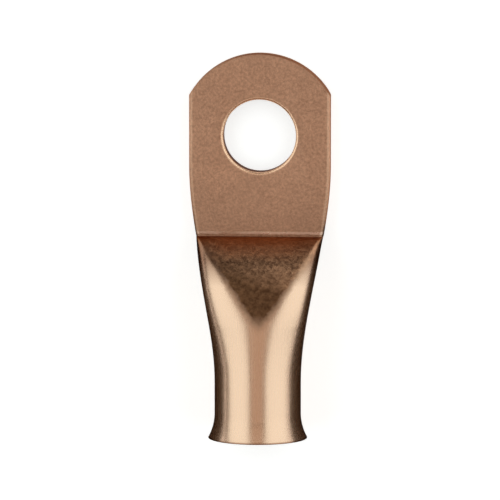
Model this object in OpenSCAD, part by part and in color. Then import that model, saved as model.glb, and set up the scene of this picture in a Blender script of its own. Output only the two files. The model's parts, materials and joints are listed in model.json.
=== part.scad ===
// Copper cable lug. A length of tube, pressed flat at one end into a tongue with a
// stud hole, and belled at the other end where the cable goes in. It lies on its
// back: the tongue's back face and the barrel's lowest line are in one plane.
// Origin: centre of the stud hole on the back face. +Y runs to the tip, +Z is up.

/* [Tongue] */
// Width of the tongue beside the stud hole
tongue_w = 20; // [17:0.1:24]
// Thickness of the pressed tongue
tongue_t = 2.75; // [2.1:0.05:3.2]
// Radius along the tongue's long edges
edge_r = 0.9; // [0.3:0.05:1]
// Centre of the stud hole to the tip
tip_reach = 11.6; // [9:0.1:16]
// How much the tip's radius is larger than half the tongue's width
tip_over = 1.45; // [0.2:0.05:4]
// Centre of the stud hole to the shoulder, where the pressed face ends
shoulder_at = 14.3; // [11:0.1:20]

/* [Stud hole] */
// Diameter of the stud hole
hole_d = 10.3; // [6.4:0.1:13]
// Radius that the punch leaves on the hole's front edge
hole_roll = 0.35; // [0.1:0.05:0.5]

/* [Barrel] */
// Outside diameter of the tube
barrel_od = 12.2; // [10:0.1:15]
// Wall of the tube
wall = 1.7; // [1:0.05:2.2]
// Centre of the stud hole to the mouth
mouth_at = 42.5; // [38:0.1:60]
// Depth of the round socket from the mouth
socket_len = 12; // [9:0.1:18]

/* [Bell mouth] */
// Length of the flared end
bell_len = 3.6; // [1.5:0.1:4.5]
// How far the lip stands out from the barrel
bell_out = 0.95; // [0.3:0.05:1.6]
// Thickness of the lip at the mouth
lip_t = 1.35; // [0.8:0.05:1.6]

/* [Neck] */
// Centre of the stud hole to where the barrel's top begins to fall
fall_at = 26.2; // [23:0.1:29]
// Fullness of the fall, where 2 is a quarter of an ellipse
fall_bow = 1.6; // [1.2:0.1:2.4]
// Height over which the neck's sides round into its flats
side_rise = 3; // [2:0.1:4]
// Length of barrel, ahead of the neck, that is already a little oval
lead_in = 4; // [2:0.1:5]
// Length of tongue, past the shoulder, whose sides still draw in
side_run = 10; // [4:0.1:10.5]
// Height of the slit in which the bore ends
slit_h = 0.3; // [0.1:0.05:0.6]

/* [Hidden] */

barrel_r = barrel_od / 2;
bore_r = barrel_r - wall;
hole_r = hole_d / 2;
tip_r = tongue_w / 2 + tip_over;
tip_centre_y = tip_reach - tip_r;
mouth_y = -mouth_at;
socket_y = mouth_y + socket_len;
round_y = socket_y - lead_in;
shoulder_y = -shoulder_at;
fall_y = -fall_at;
straight_y = shoulder_y + side_run;
slit_y = shoulder_y - wall / 2;
cavity_y = shoulder_y - 1.5 * wall;
bell_r = barrel_r + bell_out;
bell_in_r = bell_r - lip_t;
ring_points = 64;
seat = 0.03;
lap = 0.3;
over = 1;

function mix(a, b, share) = a + (b - a) * share;

function clamp01(u) = max(0, min(1, u));

// From 0 to 1 with no slope at either end
function ease(u) = let (v = clamp01(u)) 3 * v ^ 2 - 2 * v ^ 3;

function width_at(y) = mix(barrel_od, tongue_w, ease((y - round_y) / (straight_y - round_y)));

// 0 where the top begins to fall and 1 at the shoulder
function neck_share(y) = clamp01((y - fall_y) / (shoulder_y - fall_y));

function height_at(y) =
    y >= shoulder_y ? tongue_t : mix(tongue_t, barrel_od, sqrt(1 - neck_share(y) ^ fall_bow));

// Half the width that the rounding of one side takes. The rest is the flat, a V
// that widens from a point where the top begins to fall.
function side_at(y) =
    y >= shoulder_y ? edge_r :
    width_at(y) / 2 - (width_at(shoulder_y) / 2 - edge_r) * neck_share(y);

// Half the height that the rounding of one side takes
function rise_at(y) =
    y >= shoulder_y ? edge_r :
    min(height_at(y) / 2, mix(side_rise, barrel_r, (1 - neck_share(y)) ^ 3));

// A flattened ring across the lug: flat above and below, with elliptical sides
function ring(y, half_w, low, high, side, rise) =
    let (mid = (low + high) / 2, half_h = (high - low) / 2)
    [for (i = [0:ring_points - 1])
        let (a = (i + 0.5) * 360 / ring_points)
        [sign(cos(a)) * (half_w - side) + side * cos(a), y,
         mid + sign(sin(a)) * (half_h - rise) + rise * sin(a)]];

// It seats just inside the barrel's end, so the round edge there stays whole
function outer_ring(y) =
    let (in = y < socket_y ? seat * (socket_y - y) / lead_in : 0,
         half_w = width_at(y) / 2 - in, high = height_at(y) - in)
    ring(y, half_w, in, high, min(side_at(y), half_w), min(rise_at(y), (high - in) / 2));

// The inside keeps the wall all round, until the slit
function inner_ring(y) =
    let (half_w = bore_r - seat + (width_at(y) - width_at(socket_y)) / 2,
         high = height_at(y + wall) - wall,
         side = max(side_at(y) - wall, slit_h))
    ring(y, half_w, wall, high, min(side, half_w), (high - wall) / 2);

function slit_ring(y) =
    let (half_w = bore_r + (width_at(y) - width_at(socket_y)) / 2, mid = tongue_t / 2)
    ring(y, half_w, mid, mid + slit_h, slit_h / 2, slit_h / 2);

function steps(from, to, count) = [for (k = [0:count]) mix(from, to, k / count)];

// From the shoulder back, in even steps along the fall, so the steep foot has its share
function fall_steps(count) =
    [for (k = [1:count])
        mix(fall_y, shoulder_y, k == count ? 0 : cos(90 * k / count) ^ (2 / fall_bow))];

// Skin over rings that all have the same number of points
module loft(rings) {
    n = len(rings[0]);
    last = len(rings) - 1;
    polyhedron(
        points = [for (r = rings) each r],
        faces = concat(
            [[for (i = [0:n - 1]) i]],
            [for (k = [0:last - 1]) for (i = [0:n - 1])
                [k * n + i, (k + 1) * n + i, (k + 1) * n + (i + 1) % n, k * n + (i + 1) % n]],
            [[for (i = [n - 1:-1:0]) last * n + i]]));
}

module neck() {
    loft([for (y = concat(
        steps(straight_y, shoulder_y, 8),
        fall_steps(20),
        [for (k = [1:5]) mix(fall_y, socket_y, k / 5)],
        [for (k = [1:4]) mix(socket_y, round_y, k / 4)])) outer_ring(y)]);
}

module neck_cavity() {
    loft(concat(
        [slit_ring(slit_y)],
        [for (y = steps(cavity_y, socket_y, 14)) inner_ring(y)],
        [inner_ring(socket_y - lap)]));
}

// The pressed end past the neck: a bar of the ring's own section, cut to an arc
module tongue() {
    intersection() {
        translate([0, straight_y, 0])
        rotate([90, 0, 0])
        mirror([0, 0, 1])
        linear_extrude(tip_reach - straight_y + over)
        polygon([for (p = outer_ring(straight_y)) [p[0], p[2]]]);

        translate([0, 0, -over])
        linear_extrude(tongue_t + 2 * over) {
            translate([0, tip_centre_y])
            circle(tip_r, $fn = 180);
            translate([-tongue_w, straight_y - over])
            square([2 * tongue_w, tip_centre_y - straight_y + over]);
        }
    }
}

// Punched through from the front, which rolls the front edge over
module stud_hole() {
    translate([0, 0, -over])
    cylinder(r = hole_r, h = tongue_t + 2 * over, $fn = 96);

    translate([0, 0, tongue_t - hole_roll])
    rotate_extrude($fn = 96)
    difference() {
        square([hole_r + hole_roll, hole_roll + over]);
        translate([hole_r + hole_roll, 0])
        circle(hole_roll, $fn = 32);
    }
}

// Half section of a bell: x is the radius and y the distance from the mouth
module bell_section(r, lip, depth) {
    rho = (bell_len ^ 2 + lip ^ 2) / (2 * lip);
    square([r, depth]);
    difference() {
        square([r + lip, bell_len]);
        translate([r + rho, bell_len])
        circle(rho, $fn = 180);
    }
}

module barrel() {
    translate([0, mouth_y, barrel_r])
    rotate([-90, 0, 0])
    rotate_extrude($fn = 128)
    bell_section(barrel_r, bell_out, round_y - mouth_y);
}

module socket() {
    translate([0, mouth_y, barrel_r])
    rotate([-90, 0, 0])
    rotate_extrude($fn = 128)
    bell_section(bore_r, bell_in_r - bore_r, socket_len);
}

module cable_lug() {
    color("peru")
    difference() {
        union() {
            tongue();
            neck();
            barrel();
        }
        stud_hole();
        socket();
        neck_cavity();
    }
}

cable_lug();
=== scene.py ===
import json
import math

import bmesh
import bpy
import numpy as np
from mathutils import Matrix, Vector


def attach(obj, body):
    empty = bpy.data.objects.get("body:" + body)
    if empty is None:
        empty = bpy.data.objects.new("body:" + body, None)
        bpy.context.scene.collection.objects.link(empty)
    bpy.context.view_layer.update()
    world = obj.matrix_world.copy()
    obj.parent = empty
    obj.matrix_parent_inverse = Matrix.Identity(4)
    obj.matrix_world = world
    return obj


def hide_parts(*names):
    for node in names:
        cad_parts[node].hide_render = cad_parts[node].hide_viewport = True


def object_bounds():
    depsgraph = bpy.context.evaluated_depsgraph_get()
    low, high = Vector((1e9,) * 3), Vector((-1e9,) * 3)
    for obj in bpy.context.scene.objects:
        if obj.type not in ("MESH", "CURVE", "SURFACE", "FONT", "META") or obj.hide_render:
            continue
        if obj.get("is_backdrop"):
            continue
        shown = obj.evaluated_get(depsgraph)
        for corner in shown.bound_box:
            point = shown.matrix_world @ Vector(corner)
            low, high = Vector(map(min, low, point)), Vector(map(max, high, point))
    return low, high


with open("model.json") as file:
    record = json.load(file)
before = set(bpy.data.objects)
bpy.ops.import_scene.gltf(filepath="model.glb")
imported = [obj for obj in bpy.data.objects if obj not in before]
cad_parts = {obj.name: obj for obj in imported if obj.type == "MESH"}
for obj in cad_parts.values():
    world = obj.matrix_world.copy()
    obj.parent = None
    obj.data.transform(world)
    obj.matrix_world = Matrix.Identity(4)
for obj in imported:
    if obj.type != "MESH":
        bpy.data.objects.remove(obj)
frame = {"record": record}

cadLow, cadHigh = (Vector(v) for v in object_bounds())
mounts = {m["name"]: m for m in frame["record"]["mounts"]}
mm = 0.001
print("frame loaded, box in mm:", [round(v / mm, 2) for v in cadHigh - cadLow])

camera = {
    "aim": (-1.37, -16.27, 2.16),   # point in the middle of the view, mm
    "fromRight": 4.0,               # degrees towards +X
    "fromTip": 7.2,                 # degrees towards the tip
    "distance": 1000.0,             # mm
    "viewWidth": 70.75,             # mm seen across at the aim point
}


def makeCamera(c):
    a, e = math.radians(c["fromRight"]), math.radians(c["fromTip"])
    back = Vector((math.sin(a) * math.cos(e), math.sin(e), math.cos(a) * math.cos(e)))
    right = Vector((math.cos(a), 0, -math.sin(a)))
    up = back.cross(right)
    data = bpy.data.cameras.new("camera")
    data.sensor_width = 36
    data.lens = data.sensor_width * c["distance"] / c["viewWidth"]
    data.clip_start, data.clip_end = 0.01, 20
    cam = bpy.data.objects.new("camera", data)
    cam.matrix_world = Matrix((
        (right.x, up.x, back.x, 0),
        (right.y, up.y, back.y, 0),
        (right.z, up.z, back.z, 0),
        (0, 0, 0, 1)))
    cam.location = Vector(c["aim"]) * mm + back * c["distance"] * mm
    bpy.context.collection.objects.link(cam)
    bpy.context.scene.camera = cam


makeCamera(camera)

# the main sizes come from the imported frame, in mm, and the rest shape the neck and the edges
lug = {
    "palmWidth": (cadHigh.x - cadLow.x) / mm,
    "palmThick": mounts["palm_front"]["pos_m"][2] / mm,
    "tipY": cadHigh.y / mm,
    "mouthY": cadLow.y / mm,
    "axisZ": mounts["cable_socket"]["pos_m"][2] / mm,
    "bellR": (cadHigh.z - cadLow.z) / 2 / mm,
    "boreR": mounts["cable_socket"]["dims"]["r_mm"],
    "holeR": mounts["stud_hole"]["dims"]["r_mm"],
    "edgeR": 0.6,          # along the palm's long edges
    "tipOver": 1.45,       # tip radius over half the palm's width
    "shoulderY": -14.3,    # the step between palm and neck
    "fallY": -26.2,        # where the barrel's top begins to fall
    "fallBow": 1.6,        # how it falls: 2 is a quarter ellipse
    "blunt": 0.1,          # how rounded the point of the neck's flat V is
    "sideRise": 3.0,       # height over which the neck's sides round at the shoulder
    "leadIn": 4.0,         # the tube widens from this far inside the round bore
    "sideRun": 10.0,       # palm past the shoulder whose sides still draw in
    "riseRun": 16.5,       # length over which the die squares the tube's sides
    "lipThick": 1.35,      # the bell's wall at the mouth
    "lipR": 0.12,
    "holeRoll": 0.35,      # the punch rolled the hole's front edge over
    "holeBreak": 0.08,     # small edge left at the back of the hole
    "tipBurr": 0.13,       # the border along the sheared tip's edge that is painted darker as shade
    "creaseR": 0.14,       # fillet at the foot of the step
    "dieMark": 0.05,       # how far the press die's edge sinks in beside the shoulder
    "dieMarkLen": 0.75,
    "slitH": 0.3,          # what is left of the bore under the shoulder
    "slitY": -15.3,        # where it ends
    "boreEndY": -16.9,     # where the narrowing bore has become a slit
    "neckReach": (0.5, 1.5),   # how far the neck's form is smoothed, least and most
    "stepReach": 0.25,     # the same beside the step
    "topReach": 0.3,       # the same for the neck's falling top
    "pressedFromY": -17.3, # the palm's finish starts here on the sides and the back
    "pressedRun": 5.0,
    "smoothAngle": 32,     # degrees over which an edge shows as sharp
}

# how finely each stretch of the mesh is divided
counts = {"around": 192, "fall": 90, "straight": 10, "flare": 16, "lipOut": 8, "lipIn": 4,
          "throat": 12, "bore": 24, "palmCurve": 18, "palmEnd": 8, "tipArc": 72, "hole": 144,
          "holeRoll": 8}
lug["bellLen"] = mounts["cable_socket"]["pos_m"][1] / mm - lug["mouthY"]
lug["socketLen"] = lug["bellLen"] + mounts["cable_socket"]["dims"]["length_mm"]
barrelR = lug["axisZ"]
wall = barrelR - lug["boreR"]
socketY = lug["mouthY"] + lug["socketLen"]
roundY = socketY - lug["leadIn"]
straightY = lug["shoulderY"] + lug["sideRun"]
tipR = lug["palmWidth"] / 2 + lug["tipOver"]
tipCentreY = lug["tipY"] - tipR


def mix(a, b, share):
    return a + (b - a) * share


def ease(u):
    v = np.clip(u, 0, 1)
    return 3 * v ** 2 - 2 * v ** 3


def widthAt(y):
    return mix(2 * barrelR, lug["palmWidth"], ease((y - roundY) / (straightY - roundY)))


def neckShare(y):      # 0 where the top begins to fall, 1 at the shoulder
    return float(np.clip((y - lug["fallY"]) / (lug["shoulderY"] - lug["fallY"]), 0, 1))


def heightAt(y):
    if y >= lug["shoulderY"]:
        return lug["palmThick"]
    share = math.sqrt(1 - neckShare(y) ** lug["fallBow"])
    return mix(lug["palmThick"], 2 * barrelR, share)


def sideAt(y):         # the flat is a V, from a point to the shoulder's full width
    if y >= lug["shoulderY"]:
        return lug["edgeR"]
    blunt, share = lug["blunt"], neckShare(y)
    opened = (math.hypot(share, blunt) - blunt) / (math.hypot(1, blunt) - blunt)
    return widthAt(y) / 2 - (widthAt(lug["shoulderY"]) / 2 - lug["edgeR"]) * opened


def riseAt(y):
    if y >= lug["shoulderY"]:
        return lug["edgeR"]
    pressedFlat = float(ease((y - roundY) / lug["riseRun"]))
    return min(heightAt(y) / 2, mix(barrelR, lug["sideRise"], pressedFlat))


turns = (np.arange(counts["around"]) + 0.5) * 2 * np.pi / counts["around"]
cosA, sinA = np.cos(turns), np.sin(turns)


def ring(y, halfW, low, high, side, rise):
    mid, halfH = (low + high) / 2, (high - low) / 2
    x = np.sign(cosA) * (halfW - side) + side * cosA
    z = mid + np.sign(sinA) * (halfH - rise) + rise * sinA
    return np.column_stack([x, np.full_like(x, y), z])


def circleRing(y, r):
    return ring(y, r, barrelR - r, barrelR + r, r, r)


def smoothed(f, y, reach):      # f averaged over a short stretch, which rounds its corners
    at = np.linspace(-reach, reach, 9)
    weight = np.cos(at / reach * np.pi / 2) ** 2 + 1e-6
    return sum(w * f(y + d) for w, d in zip(weight, at)) / weight.sum()


def dieMark(y):                 # the press die's edge leaves a shallow slope before the crease
    u = 1 - (y - lug["shoulderY"]) / lug["dieMarkLen"]
    return lug["dieMark"] * float(np.clip(u, 0, 1)) ** 2


def outerRing(y):
    reach = float(np.clip(abs(y - lug["fallY"]), *lug["neckReach"]))
    topReach = lug["topReach"]
    if y > lug["shoulderY"] - 1:       # beside the step the form stays crisp
        reach, topReach = lug["stepReach"], lug["creaseR"]
    side = smoothed(sideAt, y, reach)
    rise = smoothed(riseAt, y, reach)
    high = smoothed(heightAt, y, topReach)
    halfW = widthAt(y) / 2
    r = ring(y, halfW, 0, high, min(side, halfW), min(rise, high / 2))
    sunk = dieMark(y) if y > lug["shoulderY"] else 0.0
    r[:, 2] -= sunk * np.clip((r[:, 2] - high / 2) / (high / 2), 0, 1)
    return r


def innerRing(y):
    halfW = lug["boreR"] + (widthAt(y) - widthAt(socketY)) / 2
    high = heightAt(y + wall) - wall
    side = min(max(sideAt(y) - wall, lug["slitH"]), halfW)
    return ring(y, halfW, wall, high, side, (high - wall) / 2)


def slitRing(y):
    halfW = lug["boreR"] + (widthAt(y) - widthAt(socketY)) / 2
    mid = lug["palmThick"] / 2
    return ring(y, halfW, mid, mid + lug["slitH"], lug["slitH"] / 2, lug["slitH"] / 2)


def bellR(s, r, lip):
    rho = (lug["bellLen"] ** 2 + lip ** 2) / (2 * lip)
    d = np.clip(lug["bellLen"] - s, 0, None)
    return r + rho - math.sqrt(rho ** 2 - d ** 2)


def bellRings():
    out = lug["bellR"] - barrelR
    inner = lug["bellR"] - lug["lipThick"] - lug["boreR"]
    q = lug["lipR"]
    n = counts
    rings = []
    for k in range(1, n["flare"] + 1):
        s = mix(lug["bellLen"], q, k / n["flare"])
        rings.append(circleRing(lug["mouthY"] + s, bellR(s, barrelR, out)))
    outR = bellR(q, barrelR, out)
    inR = bellR(q, lug["boreR"], inner)
    lean = math.atan2(bellR(q, barrelR, out) - bellR(q + 0.05, barrelR, out), 0.05)
    for k in range(1, n["lipOut"] + 1):
        a = mix(-lean, math.pi / 2, k / n["lipOut"])
        r = outR - q * (math.cos(lean) - math.cos(a))
        s = q - q * (math.sin(a) + math.sin(lean)) / (1 + math.sin(lean))
        rings.append(circleRing(lug["mouthY"] + s, r))
    for k in range(n["lipIn"] + 1):
        a = k / n["lipIn"] * math.pi / 2
        rings.append(circleRing(
            lug["mouthY"] + q * (1 - math.cos(a)),
            inR + q * (1 - math.sin(a))))
    for k in range(1, n["throat"] + 1):
        s = mix(q, lug["bellLen"], k / n["throat"])
        rings.append(circleRing(lug["mouthY"] + s, bellR(s, lug["boreR"], inner)))
    return rings


def neckRows():
    shoulder, top = lug["shoulderY"], lug["fallY"]
    rows = [shoulder + lug["dieMarkLen"] * (1 - k / 8) for k in range(6)]
    close = 0.2                    # mm on either side of the step with close rows
    rows += [shoulder + close - k * close / 10 for k in range(20)]
    for k in range(1, counts["fall"] + 1):     # even steps along the fall, for its steep part
        turn = k / counts["fall"] * math.pi / 2
        y = top + (shoulder - top) * math.cos(turn) ** (2 / lug["fallBow"])
        if y < shoulder - close:
            rows.append(y)
    n = counts["straight"]
    rows += [mix(top, socketY, k / n) for k in range(1, n + 1)]
    rows += [mix(socketY, roundY, k / n) for k in range(1, n + 1)]
    rows += [mix(roundY, lug["mouthY"] + lug["bellLen"], k / 3) for k in range(1, 4)]
    return rows


def tubeRings():
    rings = [outerRing(y) for y in neckRows()]
    rings += bellRings()
    rings += [circleRing(mix(lug["mouthY"] + lug["bellLen"], socketY, k / 3), lug["boreR"])
              for k in range(1, 4)]
    n = counts["bore"]
    rings += [innerRing(mix(socketY, lug["boreEndY"], k / n)) for k in range(1, n + 1)]
    rings.append(slitRing(lug["slitY"]))
    return rings


def tipEnd(x):
    return tipCentreY + math.sqrt(max(tipR ** 2 - x ** 2, 0))


def buildLug():
    bm = bmesh.new()
    pressed = bm.verts.layers.float.new("pressed")
    n = counts["around"]
    quarter = n // 4

    def addRing(points):
        return [bm.verts.new(Vector(p) * mm) for p in points]

    def band(a, b, wanted=None):
        for i in (wanted if wanted is not None else range(n)):
            k = (i + 1) % n
            bm.faces.new((a[i], a[k], b[k], b[i]))

    # tube and neck
    rings = [addRing(r) for r in tubeRings()]
    for a, b in zip(rings, rings[1:]):
        band(a, b)
    bm.faces.new(rings[-1])
    palmRow = rings[0]
    palmY = neckRows()[0]

    # rounded sides of the palm, from the neck to the cut tip
    sides = [i for i in range(n) if i not in (quarter - 1, 3 * quarter - 1)]
    rows = [palmRow]
    for k in range(1, counts["palmCurve"] + 1):
        rows.append(addRing(outerRing(mix(palmY, straightY, k / counts["palmCurve"]))))
    last = outerRing(straightY)
    for k in range(1, counts["palmEnd"] + 1):
        share = k / counts["palmEnd"]
        rows.append(addRing([(p[0], mix(straightY, tipEnd(p[0]), share), p[2]) for p in last]))
    for a, b in zip(rows, rows[1:]):
        band(b, a, sides)
    endRow = rows[-1]

    # the sheared wall round the tip
    flatX = last[quarter - 1][0]
    arcCount = counts["tipArc"]
    halfTurn = math.asin(flatX / tipR)

    def arcVerts(z):
        angles = [mix(halfTurn, -halfTurn, k / arcCount) for k in range(1, arcCount)]
        return [bm.verts.new(Vector((tipR * math.sin(a), tipCentreY + tipR * math.cos(a), z)) * mm)
                for a in angles]

    arcTop = arcVerts(lug["palmThick"])
    arcLow = arcVerts(0)
    topLine = endRow[0:quarter] + arcTop + endRow[quarter:2 * quarter]
    lowLine = endRow[n - 1:3 * quarter - 1:-1] + arcLow + endRow[3 * quarter - 1:2 * quarter - 1:-1]
    for k in range(len(topLine) - 1):
        bm.faces.new((topLine[k], lowLine[k], lowLine[k + 1], topLine[k + 1]))

    # stud hole: rolled over in front, a small broken edge behind
    roll, small, thick, r = lug["holeRoll"], lug["holeBreak"], lug["palmThick"], lug["holeR"]
    profile = [(r + roll * (1 - math.sin(a)), thick - roll * (1 - math.cos(a)))
               for a in np.linspace(0, math.pi / 2, counts["holeRoll"] + 1)]
    profile += [(r, mix(thick - roll, small, k / 3)) for k in range(1, 4)]
    profile += [(r + small * (1 - math.cos(a)), small * (1 - math.sin(a)))
                for a in np.linspace(0, math.pi / 2, 4)[1:]]
    holeCount = counts["hole"]
    holeTurns = [k * 2 * math.pi / holeCount for k in range(holeCount)]
    holeRings = []
    for rad, z in profile:
        holeRings.append([bm.verts.new(Vector((rad * math.sin(a), rad * math.cos(a), z)) * mm)
                          for a in holeTurns])
    for a, b in zip(holeRings, holeRings[1:]):
        for i in range(holeCount):
            k = (i + 1) % holeCount
            bm.faces.new((a[k], a[i], b[i], b[k]))

    # the two flats, each as a right and a left half round the hole
    def flat(z, hole, arc, rightSide, leftSide, flip):
        foot = bm.verts.new(Vector((0, palmY, z)) * mm)
        half = holeCount // 2
        m = len(arc) // 2
        right = [foot] + rightSide + arc[:m + 1] + hole[:half + 1]
        left = [foot] + [hole[(half + k) % holeCount] for k in range(half + 1)] + arc[m:] + leftSide
        for loop in (right, left):
            bm.faces.new(loop[::-1] if flip else loop)
        return foot

    topRight = [row[quarter - 1] for row in rows]
    topLeft = [row[quarter] for row in rows][::-1]
    lowRight = [row[3 * quarter] for row in rows]
    lowLeft = [row[3 * quarter - 1] for row in rows][::-1]
    topFoot = flat(thick, holeRings[0], arcTop, topRight, topLeft, False)
    lowFoot = flat(0, holeRings[-1], arcLow, lowRight, lowLeft, True)

    # the wide quads of the first band now meet the flats' foot points
    for foot, a, b in ((topFoot, palmRow[quarter - 1], palmRow[quarter]),
                       (lowFoot, palmRow[3 * quarter], palmRow[3 * quarter - 1])):
        edge = bm.edges.get((a, b))
        for face in list(edge.link_faces):
            loop = list(face.verts)
            i = loop.index(a)
            if loop[(i + 1) % len(loop)] is b:
                loop.insert(i + 1, foot)
            else:
                loop.insert(i, foot)
            bm.faces.remove(face)
            bm.faces.new(loop)
        bm.edges.remove(edge)

    bmesh.ops.recalc_face_normals(bm, faces=bm.faces)

    # how far each point belongs to the pressed palm
    for v in bm.verts:
        y, z = v.co.y / mm, v.co.z / mm
        front = 1.0 if y > lug["shoulderY"] else 0.0
        around = float(ease((y - lug["pressedFromY"]) / lug["pressedRun"]))
        v[pressed] = mix(around, front, float(np.clip(z / lug["palmThick"] * 2 - 1, 0, 1)))

    mesh = bpy.data.meshes.new("copper_lug")
    bm.to_mesh(mesh)
    bm.free()
    piece = bpy.data.objects.new("copper_lug", mesh)
    bpy.context.collection.objects.link(piece)
    mesh.shade_smooth()
    mesh.set_sharp_from_angle(angle=math.radians(lug["smoothAngle"]))
    return piece


lugPiece = buildLug()
print("lug built:", len(lugPiece.data.vertices), "points")


def nodeMaker(material):
    material.use_nodes = True
    tree = material.node_tree
    tree.nodes.clear()

    def make(kind, **values):
        node = tree.nodes.new(kind)
        inputs = values.pop("inputs", {})
        for key, value in values.items():
            setattr(node, key, value)
        for key, value in inputs.items():
            node.inputs[key].default_value = value
        return node

    return tree, make, tree.links.new


copper = {
    "palmColour": (0.71, 0.402, 0.266, 1),
    "palmMottle": 0.28,
    "palmCloud": 0.94,
    "shoulderTone": 0.81,                  # the palm darkens towards the shoulder
    "shoulderFade": (-15, -6),             # mm along the lug over which it does
    "cutColour": (0.46, 0.25, 0.16, 1),    # the tip's sheared wall, painted darker as shade
    "rollColour": (0.93, 0.60, 0.41, 1),   # the hole's burnished edge
    # painted shade on the hole's wall
    "holeWallColour": (0.20, 0.13, 0.09, 1),
    "rubColour": (0.80, 0.54, 0.42, 1),    # burnished line beside the shoulder
    "rubAt": 0.55,                         # mm ahead of the shoulder
    "rubWide": 0.24,                       # half its width
    "rubLeast": 0.2,                       # its share where the die hardly touched
    "tubeColour": (0.84, 0.57, 0.41, 1),
    "drawnTone": 0.96,
    "cornerColour": (0.34, 0.19, 0.125, 1),  # the tube beside the V, painted darker as shade near the shoulder
    "cornerFade": (-20.5, -17.0),
    "lipColour": (0.36, 0.19, 0.12, 1),    # the mouth's cut edge
    "lipFade": (0.12, 0.32),               # mm from the mouth
    "stampColour": (0.21, 0.108, 0.056, 1),  # the neck's flat V, partly dulled by the die and partly painted shade
    "paleColour": (0.60, 0.335, 0.20, 1),  # the same where the V is shallow, with less painted shade
    "paleFade": (-20.5, -17.0),
    "paleLean": 0.35,                      # how much further that reaches on the right
    "footColour": (0.66, 0.32, 0.175, 1),  # redder copper at the foot of the V, partly its own tone and partly a painted reflection of the palm
    "footFade": (-17.2, -16.0),
    "footWide": (4.5, 6.5),                # mm from the middle where it gives out
    "footLeast": 0.3,
    "stampMottle": 0.45,
    "stampLead": 0.5,                      # mm that the dark V starts ahead of its flat
    "stampFade": 0.7,                      # mm over which it fades at its edges
    "stampRagged": 1.2,
    "stampAside": 0.5,                     # mm that the dark V sits right of the middle
    "stampPoint": (-1.2, 1.9),             # mm along the lug over which it sets in
    "stampSpread": 0.93,                   # its share of the flat's width
    "frontOnly": (1.2, 2.4),               # mm of height over which the front's finish sets in
    # a dark tint of the metal's reflection at grazing angles: painted shade along the round sides'
    # edges
    "edgeTint": (0.25, 0.13, 0.07, 1),
    "palmRough": (0.37, 0.49),
    "tubeRough": (0.24, 0.31),
    "stampRough": (0.30, 0.44),
    "rollRough": 0.26,
    # noises: scale, detail, roughness
    "grain": (2600, 5, 0.7),
    "speck": (1700, 4, 0.7),
    "blotch": (900, 4, 0.6),
    "ragged": (900, 3, 0.6),
    "cloud": (260, 2, 0.5),
    "patch": (160, 2, 0.5),
    "lines": (1, 3, 0.6),
    "linesStretch": (9000, 160, 9000),
    # bumps: depth in mm, strength
    "grainBump": (0.03, 0.5),
    "speckBump": (0.03, 0.45),
    "lineBump": (0.008, 0.10),
}


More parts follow.
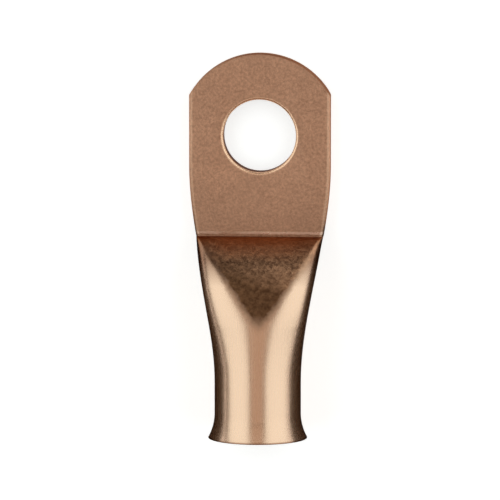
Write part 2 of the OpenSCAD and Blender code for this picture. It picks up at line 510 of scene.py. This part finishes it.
def copperMaterial(c):
    material = bpy.data.materials.new("bare_copper")
    tree, make, link = nodeMaker(material)
    out = make("ShaderNodeOutputMaterial")
    metal = make("ShaderNodeBsdfPrincipled", inputs={"Metallic": 1.0})
    # the dark edge tint paints shade along the round sides' edges
    metal.inputs["Specular Tint"].default_value = c["edgeTint"]
    link(metal.outputs[0], out.inputs[0])
    place = make("ShaderNodeTexCoord").outputs["Object"]
    palm = make("ShaderNodeAttribute", attribute_name="pressed").outputs["Fac"]

    def noise(name, stretch=None):
        scale, detail, rough = c[name]
        n = make("ShaderNodeTexNoise",
                 inputs={"Scale": scale, "Detail": detail, "Roughness": rough})
        source = place
        if stretch:
            m = make("ShaderNodeMapping")
            m.inputs["Scale"].default_value = stretch
            link(place, m.inputs["Vector"])
            source = m.outputs[0]
        link(source, n.inputs["Vector"])
        return n.outputs["Fac"]

    def ramp(source, low, high, a, b):
        r = make("ShaderNodeMapRange")
        r.inputs["From Min"].default_value = low
        r.inputs["From Max"].default_value = high
        r.inputs["To Min"].default_value = a
        r.inputs["To Max"].default_value = b
        link(source, r.inputs["Value"])
        return r.outputs[0]

    def along(source, fade, a, b, start=0):     # a ramp between two places in mm
        low, high = fade
        return ramp(source, (start + low) * mm, (start + high) * mm, a, b)

    def blend(kind, fac, a, b):
        m = make("ShaderNodeMix", data_type=kind)
        link(fac, m.inputs["Factor"])
        ends = {"RGBA": (6, 7), "FLOAT": (2, 3), "VECTOR": (4, 5)}[kind]
        outs = {"RGBA": 2, "FLOAT": 0, "VECTOR": 1}[kind]
        for index, value in zip(ends, (a, b)):
            if hasattr(value, "is_linked"):
                link(value, m.inputs[index])
            else:
                m.inputs[index].default_value = value
        return m.outputs[outs]

    def calc(operation, a, b=None):
        m = make("ShaderNodeMath", operation=operation)
        for index, value in enumerate((a, b)):
            if hasattr(value, "is_linked"):
                link(value, m.inputs[index])
            elif value is not None:
                m.inputs[index].default_value = value
        return m.outputs[0]

    def distance(a, b):
        return calc("SQRT", calc("ADD", calc("MULTIPLY", a, a), calc("MULTIPLY", b, b)))

    def darker(colour, share):
        return tuple(v * share for v in colour[:3]) + (1,)

    def darkened(tone, share):
        m = make("ShaderNodeMix", data_type="RGBA", blend_type="MULTIPLY")
        m.inputs["Factor"].default_value = 1
        link(tone, m.inputs[6])
        m.inputs[7].default_value = (share, share, share, 1)
        return m.outputs[2]

    def mottled(colour, fine, broad, depth):
        tone = blend("RGBA", fine, darker(colour, 1 - depth), colour)
        return blend("RGBA", broad, darkened(tone, 1 - depth * 0.35), tone)

    grain = ramp(noise("grain"), 0.38, 0.62, 0, 1)
    blotch = ramp(noise("blotch"), 0.30, 0.70, 0, 1)
    speck = ramp(noise("speck"), 0.38, 0.62, 0, 1)
    drawn = ramp(noise("lines", c["linesStretch"]), 0.3, 0.7, 0, 1)
    cloudy = ramp(noise("cloud"), 0.35, 0.65, 0, 1)
    patchy = ramp(noise("patch"), 0.35, 0.6, c["rubLeast"], 1)
    ragged = calc("MULTIPLY", calc("SUBTRACT", noise("ragged"), 0.5), c["stampRagged"] * mm)
    axes = make("ShaderNodeSeparateXYZ")
    link(place, axes.inputs[0])
    x, y, z = axes.outputs
    fromMiddle = calc("ABSOLUTE", x)
    front = along(z, c["frontOnly"], 0, 1)

    # the flat V that the die struck, from its point to the shoulder
    spread = widthAt(lug["shoulderY"]) / 2 * c["stampSpread"]
    slope = spread / (lug["shoulderY"] - lug["fallY"])
    half = calc("MULTIPLY", calc("SUBTRACT", y, (lug["fallY"] - c["stampLead"]) * mm), slope)
    aside = calc("ABSOLUTE", calc("SUBTRACT", x, c["stampAside"] * mm))
    depthIn = calc("SUBTRACT", half, aside)
    inside = along(calc("ADD", depthIn, ragged), (-c["stampFade"], c["stampFade"]), 0, 1)
    fading = along(y, c["stampPoint"], 0, 1, lug["fallY"])
    stamp = calc("MULTIPLY", calc("MULTIPLY", inside, fading), front)

    palmTone = mottled(c["palmColour"], grain, blotch, c["palmMottle"])
    palmTone = blend("RGBA", cloudy, darkened(palmTone, c["palmCloud"]), palmTone)
    nearShoulder = along(y, c["shoulderFade"], 1, 0)
    palmTone = blend("RGBA", nearShoulder, palmTone, darkened(palmTone, c["shoulderTone"]))

    # the punch burnished the hole's rolled edge, and its wall is painted dark as shade
    fromHole = distance(x, y)
    rolled = along(fromHole, (-0.04, 0.06), 1, 0, lug["holeR"] + lug["holeRoll"])
    belowRoll = along(z, (-0.1, 0.05), 1, 0, lug["palmThick"] - lug["holeRoll"])
    holeWallShade = calc("MULTIPLY", rolled, belowRoll)
    palmTone = blend("RGBA", rolled, palmTone, c["rollColour"])
    palmTone = blend("RGBA", holeWallShade, palmTone, c["holeWallColour"])

    # the tip's sheared wall is painted darker as shade
    fromCentre = distance(x, calc("SUBTRACT", y, tipCentreY * mm))
    tipWallShade = along(fromCentre, (-lug["tipBurr"], -lug["tipBurr"] * 0.3), 0, 1, tipR)
    tipWallShade = calc("MULTIPLY", tipWallShade, along(y, (3, 4), 0, 1))
    palmTone = blend("RGBA", tipWallShade, palmTone, c["cutColour"])

    # the die's edge burnished a line just ahead of the shoulder
    fromLine = calc("ABSOLUTE", calc("SUBTRACT", y, (lug["shoulderY"] + c["rubAt"]) * mm))
    fromLine = calc("ADD", fromLine, calc("MULTIPLY", ragged, 0.12))
    rub = along(fromLine, (c["rubWide"] * 0.5, c["rubWide"]), 1, 0)
    rub = calc("MULTIPLY", calc("MULTIPLY", rub, palm), patchy)
    palmTone = blend("RGBA", rub, palmTone, c["rubColour"])

    # inside the V the copper is dark, paler where it is shallow, redder at the foot: partly the
    # die's dulled copper, partly painted shade and a painted reflection
    raggedY = calc("ADD", y, ragged)
    shallow = along(calc("ADD", raggedY, calc("MULTIPLY", x, c["paleLean"])), c["paleFade"], 0, 1)
    foot = along(raggedY, c["footFade"], 0, 1)
    foot = calc("MULTIPLY", foot, along(fromMiddle, c["footWide"], 1, c["footLeast"]))
    stampToneAndShade = mottled(c["stampColour"], speck, blotch, c["stampMottle"])
    paleToneAndShade = mottled(c["paleColour"], speck, blotch, c["stampMottle"])
    footToneAndReflect = mottled(c["footColour"], speck, blotch, c["stampMottle"] * 0.6)
    stampToneAndShade = blend("RGBA", shallow, stampToneAndShade, paleToneAndShade)
    stampToneAndShade = blend("RGBA", foot, stampToneAndShade, footToneAndReflect)

    # the tube has drawn lines, corners by the shoulder painted darker as shade, and a dull cut edge
    # at the mouth
    drawnTone = blend("RGBA", drawn, darker(c["tubeColour"], c["drawnTone"]), c["tubeColour"])
    # painted shade on the tube's corners near the shoulder
    corner = calc("MULTIPLY", along(y, c["cornerFade"], 0, 1), front)
    drawnTone = blend("RGBA", corner, drawnTone, c["cornerColour"])
    lip = along(y, c["lipFade"], 1, 0, lug["mouthY"])
    drawnTone = blend("RGBA", lip, drawnTone, c["lipColour"])
    tubeTone = blend("RGBA", stamp, drawnTone, stampToneAndShade)
    link(blend("RGBA", palm, tubeTone, palmTone), metal.inputs["Base Color"])

    drawnRough = ramp(drawn, 0, 1, *c["tubeRough"])
    stampRough = ramp(speck, 0, 1, *c["stampRough"])
    tubeRough = blend("FLOAT", stamp, drawnRough, stampRough)
    palmRough = ramp(grain, 0, 1, *c["palmRough"])
    palmRough = blend("FLOAT", calc("MAXIMUM", rolled, rub), palmRough, c["rollRough"])
    link(blend("FLOAT", palm, tubeRough, palmRough), metal.inputs["Roughness"])

    def bumps(source, name):
        depth, strength = c[name]
        b = make("ShaderNodeBump", inputs={"Strength": strength, "Distance": depth * mm})
        link(source, b.inputs["Height"])
        return b.outputs[0]

    tubeBump = blend("VECTOR", stamp, bumps(drawn, "lineBump"), bumps(speck, "speckBump"))
    link(blend("VECTOR", palm, tubeBump, bumps(grain, "grainBump")), metal.inputs["Normal"])
    return material


lugPiece.data.materials.append(copperMaterial(copper))
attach(lugPiece, "root")
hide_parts("cable_lug")
print("copper finished")

floor = {
    "size": 6.0,
    "colour": (0.66, 0.68, 0.70, 1),   # what the lamps light, so the shadow stays
    "white": 0.66,                     # what the view and the metal see besides
    "lipIn": 0.25,                     # mm from the mouth to where the bell's lip touches
    "gap": 0.01,                       # mm under the lug
}

# the lug rests on the bell's lowest point and on the tip
restLow = (lug["mouthY"] + floor["lipIn"], cadLow.z / mm)
restSlope = -restLow[1] / (lug["tipY"] - lug["tipBurr"] - restLow[0])


def floorZ(y):
    return restLow[1] + (y - restLow[0]) * restSlope - floor["gap"]


def makeFloor(f):
    mesh = bpy.data.meshes.new("floor")
    s = f["size"] / 2
    mesh.from_pydata([(-s, -s, 0), (s, -s, 0), (s, s, 0), (-s, s, 0)], [], [(0, 1, 2, 3)])
    plane = bpy.data.objects.new("floor", mesh)
    plane.rotation_euler = (math.atan(restSlope), 0, 0)
    plane.location = Vector((0, 0, floorZ(0))) * mm
    bpy.context.collection.objects.link(plane)
    material = bpy.data.materials.new("pale_floor")
    tree, make, link = nodeMaker(material)
    out = make("ShaderNodeOutputMaterial")
    both = make("ShaderNodeAddShader")
    base = make("ShaderNodeBsdfDiffuse", inputs={"Color": f["colour"]})
    glow = make("ShaderNodeEmission")
    rays = make("ShaderNodeLightPath")
    seen = rays.outputs["Is Camera Ray"]
    for name in ("Is Glossy Ray", "Is Transmission Ray"):
        total = make("ShaderNodeMath", operation="ADD")
        link(seen, total.inputs[0])
        link(rays.outputs[name], total.inputs[1])
        seen = total.outputs[0]
    share = make("ShaderNodeMath", operation="MULTIPLY")
    share.inputs[1].default_value = f["white"]
    link(seen, share.inputs[0])
    link(share.outputs[0], glow.inputs["Strength"])
    link(base.outputs[0], both.inputs[0])
    link(glow.outputs[0], both.inputs[1])
    link(both.outputs[0], out.inputs[0])
    mesh.materials.append(material)
    plane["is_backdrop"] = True


makeFloor(floor)

lights = {
    # turn is in degrees from straight up, to the right; ahead is towards the tip, in metres
    "panels": {
        "left": {"turn": -48.4, "ahead": 0.27, "wide": 0.458, "long": 0.95, "level": 1.16,
                 "colour": (0.88, 1.0, 1.0)},
        "right": {"turn": 55.5, "ahead": 0.27, "wide": 0.50, "long": 0.95, "level": 1.16,
                  "colour": (0.88, 1.0, 1.0)},
        "top": {"turn": 2, "ahead": -0.20, "wide": 0.24, "long": 0.42, "level": 0.44,
                "colour": (1.0, 0.81, 0.68)},
        "ahead": {"turn": 2, "ahead": 0.33, "wide": 0.24, "long": 0.60, "level": 0.42,
                  "colour": (1.0, 0.80, 0.66)},
        "behind": {"turn": 0, "ahead": -0.95, "wide": 0.70, "long": 0.45, "level": 0.50,
                   "colour": (1.0, 0.95, 0.90)},
    },
    "distance": 0.40,
    "middle": (0, -0.02, 0.006),       # the point that the panels stand round
    "worldColour": (0.11, 0.075, 0.05),
}

# low dark cards round the lug give its round sides their dark edges, all in mm
flags = {
    "colour": (0.09, 0.06, 0.04, 1),
    "side": (7, 100, -120, -13),     # from and to across, from and to along
    "tip": (30, 13, 500),            # half the width, from and to along
    "above": 0.2,                    # over the floor
}


def makeLights(p):
    middle = Vector(p["middle"])
    for name, panel in p["panels"].items():
        data = bpy.data.lights.new("panel_" + name, "AREA")
        data.shape = "RECTANGLE"
        data.size, data.size_y = panel["wide"], panel["long"]
        data.energy = panel["level"] * math.pi * panel["wide"] * panel["long"]
        data.color = panel["colour"]
        lamp = bpy.data.objects.new("panel_" + name, data)
        turn = Matrix.Rotation(math.radians(panel["turn"]), 3, "Y")
        lamp.matrix_world = turn.to_4x4()
        lamp.location = middle + turn @ Vector((0, panel["ahead"], p["distance"]))
        lamp.visible_camera = False
        bpy.context.collection.objects.link(lamp)
    world = bpy.data.worlds.new("studio")
    world.use_nodes = True
    shade = world.node_tree.nodes["Background"]
    shade.inputs["Color"].default_value = (*p["worldColour"], 1)
    shade.inputs["Strength"].default_value = 1
    bpy.context.scene.world = world


def makeFlags(f):
    material = bpy.data.materials.new("dark_card")
    tree, make, link = nodeMaker(material)
    out = make("ShaderNodeOutputMaterial")
    base = make("ShaderNodeBsdfDiffuse", inputs={"Color": f["colour"]})
    link(base.outputs[0], out.inputs[0])
    x0, x1, y0, y1 = f["side"]
    cards = {"left": (-x1, -x0, y0, y1), "right": (x0, x1, y0, y1)}
    half, y0, y1 = f["tip"]
    cards["tip"] = (-half, half, y0, y1)
    for name, (x0, x1, y0, y1) in cards.items():
        corners = [(x0, y0), (x1, y0), (x1, y1), (x0, y1)]
        mesh = bpy.data.meshes.new("flag_" + name)
        mesh.from_pydata([Vector((x, y, floorZ(y) + f["above"])) * mm for x, y in corners], [],
                         [(0, 1, 2, 3)])
        mesh.materials.append(material)
        card = bpy.data.objects.new("flag_" + name, mesh)
        card.visible_camera = False
        card.visible_shadow = False
        card.visible_diffuse = False
        bpy.context.collection.objects.link(card)
        card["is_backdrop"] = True


makeLights(lights)
makeFlags(flags)
bpy.context.scene.view_settings.view_transform = "Standard"
print("studio ready")
